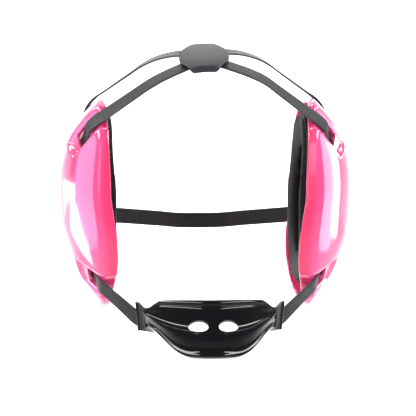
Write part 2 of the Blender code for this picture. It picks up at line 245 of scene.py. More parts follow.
print("hot pink in linear values:", [round(c, 3) for c in linear("#ff5fa8")])

# %% [markdown]
# ** Hot pink moulded plastic.** The shells are injection moulded in a glossy pink plastic, pigmented right
# through. The gloss comes straight from the polished mould: sharp reflections, with only a very slight
# waviness where the wall shrank as it cooled. Where the wall curls in to the head, a mark on the mesh makes
# the pink deeper and redder: this is painted shade, for the darker look of the turned-in skirt.

# %% Pink plastic
PINK, tree = new_material("moulded_pink_plastic")
# A grain of pigment about 2 mm across, and shrinkage waves about 30 mm across
pigment = mixed(tree, noise(tree, 500.0, 2.0), linear("#f84f8f"), linear("#fb5c99"))
waves = noise(tree, 33.0, 1.0)
# Painted shade: the turned-in mark mixes in a deeper, redder pink where the wall curls in to the head
turned_in_painted_shade = add_node(tree, "ShaderNodeAttribute", {"attribute_name": "turned_in_painted_shade"}).outputs["Fac"]
finish_material(
    tree, Base_Color=mixed(tree, turned_in_painted_shade, pigment, linear("#f83c72")), Roughness=0.13, IOR=1.5,
    Normal=bumped(tree, waves, 0.05, 0.001), Coat_Weight=0.35, Coat_Roughness=0.04,
)
print("made", PINK.name)

# %% [markdown]
# ** Black nylon webbing.** Webbing is woven flat: the threads along it float over the threads across it, so
# it shows short raised dashes in offset rows, and a denser selvedge at each edge, painted paler here as a
# painted highlight along the strap's edges. The pattern follows the strap, so it reads the strap's own UV
# map, which is in millimetres: x across it and y along it.

# %% Webbing
WEBBING, tree = new_material("woven_nylon_webbing")
strap_mm = add_node(tree, "ShaderNodeUVMap", {"uv_map": "strap_mm"}).outputs["UV"]
across, along = add_node(tree, "ShaderNodeSeparateXYZ", Vector=strap_mm).outputs[:2]
lengthways = add_node(tree, "ShaderNodeCombineXYZ", X=along, Y=across)
# A float is 1.8 mm long and a thread 0.8 mm wide
floats = add_node(
    tree, "ShaderNodeTexBrick", {"offset": 0.5, "squash": 1.0}, Vector=lengthways.outputs["Vector"],
    Color1=linear("#1b1e20"), Color2=linear("#15181a"), Mortar=linear("#08090a"),
    Scale=1.0, Mortar_Size=0.09, Mortar_Smooth=0.6, Brick_Width=1.8, Row_Height=0.8,
)
# The selvedge is the outermost half millimetre on each side of the 12 mm, and its paler colour is a painted
# highlight
from_middle = add_node(tree, "ShaderNodeMath", {"operation": "ABSOLUTE"}, _0=across)
selvedge_painted_highlight = add_node(
    tree, "ShaderNodeMapRange", {"interpolation_type": "SMOOTHSTEP"}, Value=from_middle.outputs["Value"],
    From_Min=5.2, From_Max=5.8,
)
# Painted highlight: the selvedge is painted paler, for light caught on the strap's rounded edges
colour = mixed(tree, selvedge_painted_highlight.outputs["Result"], floats.outputs["Color"], linear("#34383a"))
finish_material(
    tree, Base_Color=colour, Roughness=0.42, IOR=1.5, Specular_IOR_Level=0.3,
    Normal=bumped(tree, floats.outputs["Fac"], 0.35, 0.0003, inwards=True),
    Sheen_Weight=0.06, Sheen_Roughness=0.4,
)
print("made", WEBBING.name)

# %% [markdown]
# **Moulded rubber.** The crown plate is a soft thermoplastic rubber with a fine spark-eroded texture from
# its mould, which scatters light to an even satin grey where a lamp hits it.

# %% Rubber of the crown plate
RUBBER, tree = new_material("moulded_satin_rubber")
# Cloudy patches about 17 mm across, and the mould's grain of 0.4 mm
colour = mixed(tree, noise(tree, 60.0, 3.0), linear("#252629"), linear("#2d2e31"))
grain = noise(tree, 2500.0, 2.0)
finish_material(
    tree, Base_Color=colour, Roughness=0.5, IOR=1.5, Specular_IOR_Level=0.3,
    Normal=bumped(tree, grain, 0.25, 0.0002),
)
print("made", RUBBER.name)

# %% [markdown]
# **Moulded vinyl.** The chin cup is soft black vinyl from a polished mould, nearly as glossy as patent
# leather. Its surface is never quite even, so the lamps' reflections waver along the folds.

# %% Vinyl of the chin cup
VINYL, tree = new_material("moulded_black_vinyl")
# Flow marks about 12 mm across, and specks of dust about 1 mm across that are less glossy
flow, specks = noise(tree, 80.0, 1.0), noise(tree, 900.0, 2.0)
rough = add_node(
    tree, "ShaderNodeMapRange", Value=specks, From_Min=0.3, From_Max=0.7, To_Min=0.08, To_Max=0.15,
)
finish_material(
    tree, Base_Color=linear("#08090c"), Roughness=rough.outputs["Result"], IOR=1.52,
    Specular_IOR_Level=0.25, Normal=bumped(tree, flow, 0.12, 0.001),
)
print("made", VINYL.name)

# %% [markdown]
# **Knitted cover over foam.** The ear rings are foam in a black knitted cloth. The knit is far too fine to
# show at this size, so its loops are drawn 1.2 mm apart, and a sheen stands for its fuzz.

# %% Knitted cover of the ear rings
KNIT, tree = new_material("knitted_black_cover")
loops = add_node(tree, "ShaderNodeTexVoronoi", Vector=on_piece(tree), Scale=830.0)
colour = mixed(tree, noise(tree, 90.0, 3.0), linear("#0b0b0c"), linear("#131415"))
finish_material(
    tree, Base_Color=colour, Roughness=0.92, Specular_IOR_Level=0.2,
    Normal=bumped(tree, loops.outputs["Distance"], 0.5, 0.0004, inwards=True),
    Sheen_Weight=0.05, Sheen_Roughness=0.5,
)
print("made", KNIT.name)

# %% [markdown]
# ## The head as a guide
#
# The crown plate and the straps take the form of the head that the guard is made for. An ellipsoid stands
# for its skull. It isn't built, and only says where points go.

# %% Guide skull
SKULL_CENTRE = np.array((0.0, 2.0, 54.2))
SKULL_RADII = np.array((72.0, 92.0, 60.0))


def over_skull(x, y, offset):
    """Points this far over the guide skull, and the outward directions there."""
    x, y = np.broadcast_arrays(np.asarray(x, float), np.asarray(y, float))
    level = (np.stack([x, y], -1) - SKULL_CENTRE[:2]) / SKULL_RADII[:2]
    reach = 1.0 - (level**2).sum(-1)
    foot = np.stack([x, y, SKULL_CENTRE[2] + SKULL_RADII[2] * np.sqrt(reach)], -1)
    away = unit((foot - SKULL_CENTRE) / SKULL_RADII**2)
    return foot + away * np.asarray(offset, float)[..., None], away


def smoothstep(value):
    value = np.clip(value, 0.0, 1.0)
    return value * value * (3.0 - 2.0 * value)


def round_ear(x, angle, radius, middle_z):
    """Points at a radius round an ear. The angle runs from the face side upwards."""
    y, z = -np.cos(angle) * radius, middle_z + np.sin(angle) * radius
    return np.stack([np.broadcast_to(x, y.shape), y, z], -1)


print("top of the guide skull:", over_skull(0.0, 2.0, 0.0)[0].round(1))

# %% [markdown]
# ## Ear shells
#
# Each shell is a dome over a rounded upright outline. At its shoulder the wall turns and runs in to the
# head as a skirt. Each strap lies in a bed sunk into the dome, with a steep wall on the side that faces
# forward and a soft one on the other, and dives through a slot.
#
# A dome like this could be sculpted or made from a subdivided cage. It is worked out by a formula instead,
# because then the wall's thickness is exact, and the beds are just a depth that is taken off the same
# formula. The grid is finer where the beds are, so that their edges are crisp.

# %% Sizes of a shell
SHELL_WALL = 2.5
SHELL_MIDDLE_Z = 10.0
SHELL_HALF_WIDTH = 54.0
SHELL_UP = 66.0
SHELL_DOWN = 89.0
SHELL_SQUARENESS = 3.0
SHELL_APEX_X = 109.0
DOME_POWER = 2.3
HEARING_HOLE_RADIUS = 5.0
# Shares of the outline: where the dome ends and where the skirt's rim is. Then the turn's share of the skirt
DOME_END = 0.955
RIM_END = 0.985
SHOULDER_TURN = 0.35
# Degrees from the face side upwards, x of the shoulder, x of the rim
SHELL_EDGE = (
    (0.0, 81.0, 71.0),
    (45.0, 78.5, 72.5),
    (90.0, 79.5, 77.5),
    (135.0, 78.5, 72.5),
    (180.0, 81.0, 71.0),
    (225.0, 76.5, 66.0),
    (270.0, 76.0, 74.0),
    (315.0, 76.5, 66.0),
)
BED_HALF_WIDTH = 9.0
BED_END_SLOPE = 5.0
SLOT_LENGTH = 14.0
SLOT_WIDTH = 14.6
SLOT_CORNER = 1.6
SLOT_CUT = 7.0
# Strap: slot centre y and z, direction from there to the rim in y and z, depth, steep and soft wall, tip
BEDS = {
    "front": ((-34.2, 50.1), (-0.5, 0.866), 3.0, 2.5, 7.0, 13.0),
    "rear": ((7.5, 62.0), (-0.42, 0.907), 0.8, 3.0, 5.0, 10.0),
    "chin": ((-34.0, -56.7), (-0.86, -0.51), 3.0, 2.5, 7.0, 13.0),
    "nape": ((35.0, -12.0), (1.0, 0.0), 1.6, 4.0, 4.0, 10.0),
}


def eased_table(rows, degrees):
    """Each column of a table of stations round a loop, read between them with a smooth rise and fall."""
    rows = np.array(rows)
    degrees = np.asarray(degrees) % 360.0
    following = np.roll(rows, -1, axis=0)
    following[-1, 0] += 360.0
    row = np.searchsorted(rows[:, 0], degrees, side="right") - 1
    share = smoothstep((degrees - rows[row, 0]) / (following[row, 0] - rows[row, 0]))[..., None]
    return rows[row, 1:] * (1.0 - share) + following[row, 1:] * share


def superellipse(angle, half_width, half_height, squareness):
    across = np.abs(np.cos(angle) / half_width) ** squareness
    upright = np.abs(np.sin(angle) / half_height) ** squareness
    return (across + upright) ** (-1.0 / squareness)


def shell_outline(angle):
    half_height = np.where(np.sin(angle) > 0.0, SHELL_UP, SHELL_DOWN)
    return superellipse(angle, SHELL_HALF_WIDTH, half_height, SHELL_SQUARENESS)


def dome_x(angle, share):
    shoulder = eased_table(SHELL_EDGE, np.degrees(angle))[..., 0]
    return shoulder + (SHELL_APEX_X - shoulder) * (1.0 - np.minimum(share, 1.0) ** DOME_POWER)


def bed_depth(y, z):
    deepest = np.zeros_like(y)
    for slot, to_rim, depth, steep, soft, tip in BEDS.values():
        along = (y - slot[0]) * to_rim[0] + (z - slot[1]) * to_rim[1]
        across = (z - slot[1]) * to_rim[0] - (y - slot[0]) * to_rim[1]
        step = np.where(across > 0.0, steep, soft)
        sides = smoothstep((BED_HALF_WIDTH - np.abs(across)) / step + 0.5)
        end = smoothstep((along + tip) / BED_END_SLOPE + 0.5)
        deepest = np.maximum(deepest, depth * sides * end)
    return deepest


print("outline in front, on top, behind, below:", shell_outline(np.radians((0, 90, 180, 270))).round(1))

# %% [markdown]
# The rows of the grid run from the hearing hole over the dome, round the shoulder and down the skirt to
# the rim, then back up inside. The columns stand closer together in the four directions where beds are.

# %% Grid over a shell
BED_DIRECTIONS = (54.0, 97.0, 211.0, 299.0)
COLUMNS = 400
PLAIN_DENSITY = 0.55
CROWD_SPREAD = 17.0


def crowded_angles():
    degrees = np.linspace(0.0, 360.0, 3601)
    density = np.full_like(degrees, PLAIN_DENSITY)
    for crowd in BED_DIRECTIONS:
        away = (degrees - crowd + 180.0) % 360.0 - 180.0
        density += np.exp(-((away / CROWD_SPREAD) ** 2))
    reached = np.concatenate([[0.0], np.cumsum((density[1:] + density[:-1]) / 2.0)])
    return np.radians(np.interp(np.arange(COLUMNS) / COLUMNS, reached / reached[-1], degrees))


def shell_profile(angle, dome_shares, turn_steps=10, skirt_steps=10):
    """Rows of the plain outer surface: over the dome, round the shoulder and down the skirt."""
    outline = shell_outline(angle)
    shoulder, rim = np.moveaxis(eased_table(SHELL_EDGE, np.degrees(angle)), -1, 0)
    line = [np.array((outline * share, dome_x(angle, share))) for share in dome_shares]
    slope = -(SHELL_APEX_X - shoulder) * DOME_POWER * DOME_END ** (DOME_POWER - 1.0)
    start = np.array((outline * DOME_END, dome_x(angle, DOME_END)))
    corner = start + (1.0 - DOME_END) * np.array((outline, slope))
    end = np.array((outline * RIM_END, rim))
    turned = corner + SHOULDER_TURN * (end - corner)
    for t in np.linspace(0.0, 1.0, turn_steps + 1)[1:]:
        line.append((1 - t) ** 2 * start + 2 * t * (1 - t) * corner + t * t * turned)
    for t in np.linspace(0.0, 1.0, skirt_steps + 1)[1:]:
        line.append(turned + (end - turned) * t)
    radii, xs = np.moveaxis(line, 1, 0)
    return round_ear(xs, angle, radii, SHELL_MIDDLE_Z)


def grid_normals(grid):
    by_column = np.roll(grid, -1, axis=1) - np.roll(grid, 1, axis=1)
    return unit(np.cross(by_column, np.gradient(grid, axis=0)))


def rounded_edge(outer, inner, towards, steps=5):
    """Rows of a half round edge from the outer wall's last row to the inner wall's."""
    middle, half = (outer + inner) / 2.0, (outer - inner) / 2.0
    bulge = towards * np.linalg.norm(half, axis=-1, keepdims=True)
    turns = np.linspace(0.0, math.pi, steps + 2)[1:-1]
    return np.array([middle + half * math.cos(turn) + bulge * math.sin(turn) for turn in turns])


ANGLES = crowded_angles()
apart = np.diff(np.degrees(ANGLES))
print(f"columns stand between {apart.min():.2f} and {apart.max():.2f} degrees apart")

# %% Wall of a shell
# Shares of the outline at which rows stand: coarse on top of the dome, fine where the beds are
DOME_SHARES = (*np.linspace(0.13, 0.52, 22), *np.linspace(0.53, DOME_END, 76))
# Where the painted shade on the skirt starts below the shoulder, and over how many millimetres it comes in
PAINTED_SHADE_FROM = 0.5
PAINTED_SHADE_OVER = 6.5


def shell_grid():
    angle = ANGLES
    hole_x = dome_x(angle, HEARING_HOLE_RADIUS / shell_outline(angle))
    hole = round_ear(hole_x, angle, HEARING_HOLE_RADIUS, SHELL_MIDDLE_Z)
    plain = np.concatenate([hole[None], shell_profile(angle, DOME_SHARES)])
    inward = -grid_normals(plain)
    outer = plain + inward * bed_depth(plain[..., 1], plain[..., 2])[..., None]
    # Nobody sees the beds from inside, so a third of the rows is enough there
    inner = (outer + inward * SHELL_WALL)[::-1]
    inner = inner[np.r_[0:20:4, 20:len(inner) - 1:3, len(inner) - 1]]
    rim = rounded_edge(outer[-1], inner[0], unit(plain[-1] - plain[-2]))
    hole_edge = rounded_edge(inner[-1], outer[0], unit(plain[0] - plain[1]))
    return np.concatenate([outer, rim, inner, hole_edge])


def painted_shade_marks(rows):
    """How far each point is below the shoulder on the skirt or inside, from 0 to 1: the share of painted
    shade that deepens the pink there.
    """
    angle = np.arctan2(rows[..., 2] - SHELL_MIDDLE_Z, -rows[..., 1])
    shoulder = eased_table(SHELL_EDGE, np.degrees(angle))[..., 0]
    return smoothstep((shoulder - PAINTED_SHADE_FROM - rows[..., 0]) / PAINTED_SHADE_OVER)


rows = shell_grid()
shell_left = skin("shell_left_skin", rows, closed_rows=True, marks={"turned_in_painted_shade": painted_shade_marks(rows)})
report(shell_left)

# %% Slots for the straps
NEARBY = 0.5


def slot_cutter(strap):
    """A box with rounded ends, through the wall at the strap's slot."""
    slot, to_rim = BEDS[strap][:2]
    middle, away = shell_at(*slot)
    ahead, _ = shell_at(slot[0] + to_rim[0], slot[1] + to_rim[1])
    across = unit(np.cross(away, ahead - middle))
    along = np.cross(across, away)
    turns = np.linspace(0.0, math.tau, 40, endpoint=False)[:, None]
    corner = np.sign(np.cos(turns)) * across * (SLOT_WIDTH / 2.0 - SLOT_CORNER)
    corner = corner + np.sign(np.sin(turns)) * along * (SLOT_LENGTH / 2.0 - SLOT_CORNER)
    ring = corner + (np.cos(turns) * across + np.sin(turns) * along) * SLOT_CORNER
    return [middle + ring + away * depth for depth in (-SLOT_CUT, SLOT_CUT)]


def shell_at(y, z):
    """Outer surface at a place in the side view, with its beds, and the outward direction."""
    def plain(y, z):
        angle = math.atan2(z - SHELL_MIDDLE_Z, -y)
        share = math.hypot(y, z - SHELL_MIDDLE_Z) / shell_outline(angle)
        return np.array((float(dome_x(angle, share)), y, z))

    by_y = plain(y + NEARBY, z) - plain(y - NEARBY, z)
    by_z = plain(y, z + NEARBY) - plain(y, z - NEARBY)
    away = unit(np.cross(by_y, by_z))
    return plain(y, z) - away * bed_depth(np.array(y), np.array(z)), away


def cut(piece, cutters):
    for cutter in cutters:
        modifier = piece.modifiers.new("cut", "BOOLEAN")
        modifier.operation = "DIFFERENCE"
        modifier.object = cutter
    bake_modifiers(piece)
    for cutter in cutters:
        bpy.data.objects.remove(cutter)


def bake_modifiers(piece):
    graph = bpy.context.evaluated_depsgraph_get()
    finished = bpy.data.meshes.new_from_object(piece.evaluated_get(graph), depsgraph=graph)
    piece.modifiers.clear()
    piece.data = finished


cut(shell_left, [skin(f"{strap}_slot", slot_cutter(strap)) for strap in BEDS])
report(shell_left)

# %% Mirror it for the right ear


def vertex_places(piece):
    places = np.empty(len(piece.data.vertices) * 3)
    piece.data.vertices.foreach_get("co", places)
    return places.reshape(-1, 3)


def mirrored(piece, name):
    copy = link_piece(name, piece.data.copy())
    points = vertex_places(copy)
    points[:, 0] = 2.0 * place((0.0, 0.0, 0.0))[0] - points[:, 0]
    copy.data.vertices.foreach_set("co", points.reshape(-1))
    copy.data.flip_normals()
    return copy


def smooth_with_crisp_edges(piece, degrees=50.0):
    piece.data.shade_smooth()
    piece.data.set_sharp_from_angle(angle=math.radians(degrees))


def finish_piece(piece, material, slot_name, *nodes):
    piece.data.materials.clear()
    piece.data.materials.append(material)
    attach(piece, "root")
    if nodes:
        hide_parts(*nodes)


shell_right = mirrored(shell_left, "shell_right_skin")
for piece, node in ((shell_left, "shell_left"), (shell_right, "shell_right")):
    smooth_with_crisp_edges(piece)
    finish_piece(piece, PINK, "shell", node)
report(shell_right)

# %% [markdown]
# ## Straps
#
# Every strap is flat webbing, 12 mm wide, that leaves its shell through a slot, lies over the bed, and
# runs taut to where it meets the head or the cup. A path with a facing direction at each knot says all of
# that, and a rounded flat section is swept along it. Curves with a bevel would twist where the webbing has
# to lie flat, so the sections are placed by the facing directions instead.

# %% Sweep webbing along a path
STRAP_WIDTH = 12.0
STRAP_THICKNESS = 1.5
STRAP_SPACING = 1.2
IN_THE_AIR = 22.0
TAUT_END = 10.0


def pulled_straight(knots):
    knots = np.array(knots, float)
    taut = [knots[0]]
    for near, far in zip(knots, knots[1:]):
        length = np.linalg.norm(far[:3] - near[:3])
        if length > IN_THE_AIR:
            taut += [near + (far - near) * share for share in (TAUT_END / length, 1.0 - TAUT_END / length)]
        taut.append(far)
    return np.array(taut)


def smooth_path(knots):
    """Samples of a smooth curve through the knots, whose first three columns are the place."""
    knots = pulled_straight(knots)
    lengths = np.linalg.norm(np.diff(knots[:, :3], axis=0), axis=1)
    times = np.concatenate([[0.0], np.cumsum(lengths)])
    slopes = np.gradient(knots, times, axis=0)
    samples = []
    for i, length in enumerate(lengths):
        for share in np.arange(0.0, 1.0, 1.0 / max(1, round(length / STRAP_SPACING))):
            start = (1.0 + 2.0 * share) * (1.0 - share) ** 2
            end = share * share * (3.0 - 2.0 * share)
            samples.append(
                start * knots[i] + end * knots[i + 1]
                + share * (1.0 - share) ** 2 * length * slopes[i]
                - share * share * (1.0 - share) * length * slopes[i + 1]
            )
    return np.array(samples + [knots[-1]])


def flat_section():
    """A rounded flat outline: sideways and outward."""
    edge = STRAP_THICKNESS / 2.0
    turns = np.linspace(-math.pi / 2.0, math.pi / 2.0, 7)
    right = np.stack([STRAP_WIDTH / 2.0 - edge + edge * np.cos(turns), edge * np.sin(turns)], -1)
    flats = np.linspace(STRAP_WIDTH / 2.0 - edge, edge - STRAP_WIDTH / 2.0, 10)[1:-1]
    top = np.stack([flats, np.full_like(flats, edge)], -1)
    half = np.concatenate([right, top])
    return np.concatenate([half, -half])


def sweep_webbing(name, knots, side=1.0):
    path = smooth_path(knots)
    points = path[:, :3]
    along = np.gradient(points, axis=0)
    sideways = unit(np.cross(path[:, 3:6], along))
    outward = unit(np.cross(along, sideways))
    section = flat_section()
    grid = points[:, None] + sideways[:, None] * section[:, :1] + outward[:, None] * section[:, 1:]
    run = np.concatenate([[0.0], np.cumsum(np.linalg.norm(np.diff(points, axis=0), axis=1))])
    across = np.broadcast_to(section[:, 0], grid.shape[:2])
    length = np.broadcast_to(run[:, None], grid.shape[:2])
    piece = skin(name, grid, side)
    lay_strap_map(piece.data, across.reshape(-1), length.reshape(-1))
    print(f"{name}: {run[-1]:.0f} mm of webbing")
    return piece


def lay_strap_map(mesh, across, length):
    layer = mesh.uv_layers.new(name="strap_mm")
    corners = np.empty(len(mesh.loops), int)
    mesh.loops.foreach_get("vertex_index", corners)
    layer.data.foreach_set("uv", np.stack([across[corners], length[corners]], -1).reshape(-1))


print("webbing section has", len(flat_section()), "points")

# %% Where the straps go
IN_BED = 1.15
BONDED = -3.75
# Along the strap from the slot centre, and the middle of the webbing from the shell's outer surface there
THREADING = (
    (-14.0, BONDED),
    (-8.0, BONDED),
    (-3.0, BONDED),
    (1.5, -1.4),
    (5.9, IN_BED),
    (11.0, IN_BED),
)
REAR_STRAP_TURN = (81.9, 1.8, 75.6, 0.53, 0.0, 0.85)
NAPE_STRAP_TURN = ((82.6, 54.4, -13.4, 0.94, 0.34), (79.6, 57.6, -13.8, 0.62, 0.78))
CROWN_SHIFT = -3.5
SHIFT_FADES_OVER = 84.0
FRONT_STRAP_ON_HEAD = ((9.5, -57.2), (18.0, -59.4), (30.0, -59.0), (42.0, -55.4))
REAR_STRAP_ON_HEAD = ((9.8, -39.9), (18.0, -34.0), (32.0, -23.5), (46.0, -12.0))
NAPE_STRAP_ON_HEAD = ((34.0, 84.0, -19.0), (18.0, 92.5, -21.0), (0.0, 95.2, -21.5))
STRAP_OVER_HEAD = 0.2


def threaded_knots(strap, stations=THREADING):
    slot, to_rim = BEDS[strap][:2]
    knots = []
    for along, offset in stations:
        point, away = shell_at(slot[0] + along * to_rim[0], slot[1] + along * to_rim[1])
        knots.append([*(point + away * offset), *away])
    return knots


def crown_strap_knots(start, on_head, side):
    knots = list(start)
    for x, y in reversed(on_head):
        shifted = x + CROWN_SHIFT * side * (1.0 - x / SHIFT_FADES_OVER)
        point, away = over_skull(shifted, y, STRAP_OVER_HEAD + STRAP_THICKNESS / 2.0)
        knots.append([*point, *away])
    return knots


SIDES = (("left", 1.0), ("right", -1.0))
for side_name, side in SIDES:
    front = crown_strap_knots(threaded_knots("front"), FRONT_STRAP_ON_HEAD, side)
    rear_start = threaded_knots("rear", THREADING[:-1]) + [REAR_STRAP_TURN]
    rear = crown_strap_knots(rear_start, REAR_STRAP_ON_HEAD, side)
    for name, knots in (("front_strap", front), ("rear_strap", rear)):
        strap = sweep_webbing(f"{name}_{side_name}_webbing", knots, side)
        finish_piece(strap, WEBBING, "webbing", f"{name}_{side_name}")

# %% [markdown]
# ## Chin cup
#
# The cup is one wall of vinyl, bent round the chin. A fold across it stands out as a crest, with two vents
# behind it. Each end flattens to a tab with a thick lip. It is lofted from a table of the wall's section,
# which flattens from the middle of the cup towards the tabs.

# %% Sizes of the chin cup
CUP_HALF_WIDTH = 53.0
CUP_FRONT_Y = -105.0
CUP_REACH = 40.0
CUP_BEND = 30.0
CUP_BODY_HALF = 48.0
CUP_WALL = 2.2
TAB_TOP_Z = -72.0
TAB_BOTTOM_Z = -89.0
TAB_SETBACK = 2.5
TAB_STARTS = 46.0
TAB_CORNER_STARTS = 47.0
TAB_CORNER_RISE = 3.6
TAB_LIP_STARTS = 51.0
TAB_LIP_RISES_OVER = 1.1
TAB_LIP = 1.2
TAB_ROUNDING = 0.9
RELIEF_FADES_OVER = 7.0
RIM_DIPS_AT = 46.5
RIM_RISES_OVER = 11.5
RIM_STEP = 0.64
RIM_ARCH_HALF = 42.0
BELLY_STARTS = 43.0
BELLY_DROPS_OVER = 33.0
# One row for each point of the section: how far forward of the path and how high it is in the middle of
# the cup, its share of the tab's height from the top, its relief, which fades only near the tabs, and how
# suddenly it comes to its middle place, or else the edge whose rise or drop it follows
CUP_OUTSIDE = (
    (-0.4, -63.0, 0.0, 0.0, "rim"),
    (0.8, -63.8, 0.02, 0.3, "rim"),
    (1.2, -65.4, 0.04, 0.6, "rim"),
    (1.6, -67.0, 0.06, -0.3, "rim"),
    (2.0, -69.0, 0.09, 0.5, "rim"),
    (3.3, -74.4, 0.12, 0.2, 0.8),
    (4.8, -80.6, 0.15, 0.0, 1.0),
    (6.9, -83.9, 0.17, -0.1, 1.1),
    (8.9, -85.3, 0.19, -0.3, 1.2),
    (10.6, -85.0, 0.21, -0.2, 1.2),
    (11.6, -83.4, 0.24, 0.8, 1.2),
    (12.4, -84.6, 0.28, 0.7, 1.2),
    (13.2, -86.4, 0.34, 0.4, 1.3),
    (13.8, -90.2, 0.46, 0.0, "belly"),
    (14.2, -95.8, 0.58, -0.4, "belly"),
    (14.4, -99.4, 0.66, 1.0, "belly"),
    (13.8, -100.9, 0.72, 0.6, "belly"),
    (11.8, -102.0, 0.8, 0.0, "belly"),
    (8.4, -103.0, 0.9, 0.0, "belly"),
    (4.4, -103.9, 0.98, 0.0, "belly"),
    (2.5, -104.1, 1.0, 0.0, "belly"),
)
CUP_INSIDE = (
    (4.5, -101.7, 1.0, 0.0, "belly"),
    (8.4, -100.7, 0.93, 0.0, "belly"),
    (11.8, -98.6, 0.8, 0.0, "belly"),
    (13.8, -93.4, 0.6, 0.0, "belly"),
    (13.6, -89.6, 0.42, 0.0, "belly"),
    (10.0, -88.4, 0.26, 0.0, 1.2),
    (5.4, -82.0, 0.18, 0.0, 1.1),
    (3.3, -74.8, 0.13, 0.0, 0.8),
    (1.5, -68.6, 0.07, 0.0, "rim"),
    (0.0, -63.6, 0.0, 0.0, "rim"),
)
print(len(CUP_OUTSIDE), "points outside and", len(CUP_INSIDE), "inside")

# %% Section of the chin cup


def cup_path(x, forward):
    """A point in plan beside the cup's path, and the level direction forward from the path."""
    scale = CUP_REACH / (math.hypot(1.0, CUP_HALF_WIDTH / CUP_BEND) - 1.0)
    stretch = math.hypot(1.0, x / CUP_BEND)
    slope = scale * x / (CUP_BEND**2 * stretch)
    ahead = np.array((slope, -1.0, 0.0)) / math.hypot(slope, 1.0)
    return np.array((x, CUP_FRONT_Y + scale * (stretch - 1.0), 0.0)) + ahead * forward, ahead


def closed_spline(points, steps):
    """A smooth closed curve through the points."""
    points = np.asarray(points, float)
    before, after, later = np.roll(points, 1, 0), np.roll(points, -1, 0), np.roll(points, -2, 0)
    rows = []
    for t in np.arange(steps) / steps:
        rows.append(0.5 * (
            2.0 * points + (after - before) * t
            + (2.0 * before - 5.0 * points + 4.0 * after - later) * t * t
            + (3.0 * points - before - 3.0 * after + later) * t**3
        ))
    return np.stack(rows, 1).reshape(-1, points.shape[1])


def cup_section(x):
    middle = max(1.0 - (x / CUP_BODY_HALF) ** 2, 0.0)
    rim_step = smoothstep((RIM_DIPS_AT - abs(x)) / RIM_RISES_OVER)
    rim_arch = max(1.0 - (x / RIM_ARCH_HALF) ** 2, 0.0)
    edges = {
        "rim": RIM_STEP * rim_step + (1.0 - RIM_STEP) * rim_arch,
        "belly": smoothstep((BELLY_STARTS - abs(x)) / BELLY_DROPS_OVER),
    }
    relief_share = smoothstep((TAB_STARTS - abs(x)) / RELIEF_FADES_OVER)
    corner = smoothstep((abs(x) - TAB_CORNER_STARTS) / (CUP_HALF_WIDTH - TAB_CORNER_STARTS))
    lip = TAB_LIP * smoothstep((abs(x) - TAB_LIP_STARTS) / TAB_LIP_RISES_OVER)
    to_end = max(0.0, 1.0 - (CUP_HALF_WIDTH - abs(x)) / TAB_ROUNDING)
    half_wall = (CUP_WALL + lip) / 2.0
    rounded = half_wall * math.sqrt(1.0 - to_end**2)
    top = TAB_TOP_Z + TAB_CORNER_RISE * corner
    points = []
    for rows, facing in ((CUP_OUTSIDE, 1.0), (CUP_INSIDE, -1.0)):
        for forward, middle_z, tab_share, relief, suddenness in rows:
            come = edges[suddenness] if suddenness in edges else middle**suddenness
            tab_z = top + (TAB_BOTTOM_Z - top) * tab_share
            ahead = lip - half_wall + facing * rounded - TAB_SETBACK * tab_share * (1.0 - middle)
            point, _ = cup_path(x, ahead + forward * middle + relief * relief_share)
            point[2] = tab_z + (middle_z - tab_z) * come
            points.append(point)
    return closed_spline(points, 5)


print("the section has", len(cup_section(0.0)), "points")

# %% Build the chin cup
# The last millimetres of each tab have finer stations, for its lip and its rounded end
LIP_STATIONS_FROM = 50.5
LAST_STATION = CUP_HALF_WIDTH - 0.02


def cup_stations():
    body = np.linspace(0.0, LIP_STATIONS_FROM, 70)
    half = np.concatenate([body, np.linspace(LIP_STATIONS_FROM, LAST_STATION, 20)[1:]])
    return np.concatenate([-half[:0:-1], half])


cup = skin("chin_cup_vinyl", [cup_section(x) for x in cup_stations()])
report(cup)

# %% Vents of the chin cup
VENT_X = 10.4
VENT_Y = -108.5
VENT_Z = -80.2
VENT_HALF_WIDTH = 6.9
VENT_HALF_HEIGHT = 3.9
VENT_TURN = 14.0
VENT_PITCH = 38.0
VENT_CUT = (-8.0, 4.0)


def vent_cutter(side):
    """An oval bar through the wall, turned and pitched as the vent is."""
    turn, pitch = math.radians(VENT_TURN * side), math.radians(VENT_PITCH)
    through = np.array((0.0, -math.cos(pitch), math.sin(pitch)))
    level = np.array((1.0, 0.0, 0.0))
    wide = level * math.cos(turn) - np.cross(level, through) * math.sin(turn)
    tall = np.cross(through, wide)
    angles = np.linspace(0.0, math.tau, 64, endpoint=False)[:, None]
    oval = wide * VENT_HALF_WIDTH * np.cos(angles) + tall * VENT_HALF_HEIGHT * np.sin(angles)
    oval = oval + np.array((VENT_X * side, VENT_Y, VENT_Z))
    return [oval + through * depth for depth in VENT_CUT]


cut(cup, [skin(f"vent_{name}", vent_cutter(side)) for name, side in SIDES])
smooth_with_crisp_edges(cup)
finish_piece(cup, VINYL, "cup", "chin_cup")
report(cup)

# %% Chin straps and nape strap
STRAP_BEHIND_TAB = 0.8
CHIN_STRAP_AT_TAB = ((56.5, -80.0), (50.5, -82.8), (45.0, -84.4))


def chin_strap_knots():
    knots = threaded_knots("chin", THREADING[:-1])
    behind = -(CUP_WALL + STRAP_BEHIND_TAB + STRAP_THICKNESS / 2.0)
    tab_top = TAB_TOP_Z + TAB_CORNER_RISE / 2.0
    tilt = TAB_SETBACK / (tab_top - TAB_BOTTOM_Z)
    for x, z in CHIN_STRAP_AT_TAB:
        point, ahead = cup_path(x, behind - tilt * (tab_top - z))
        knots.append([point[0], point[1], z, *ahead[:2], -tilt])
    return knots


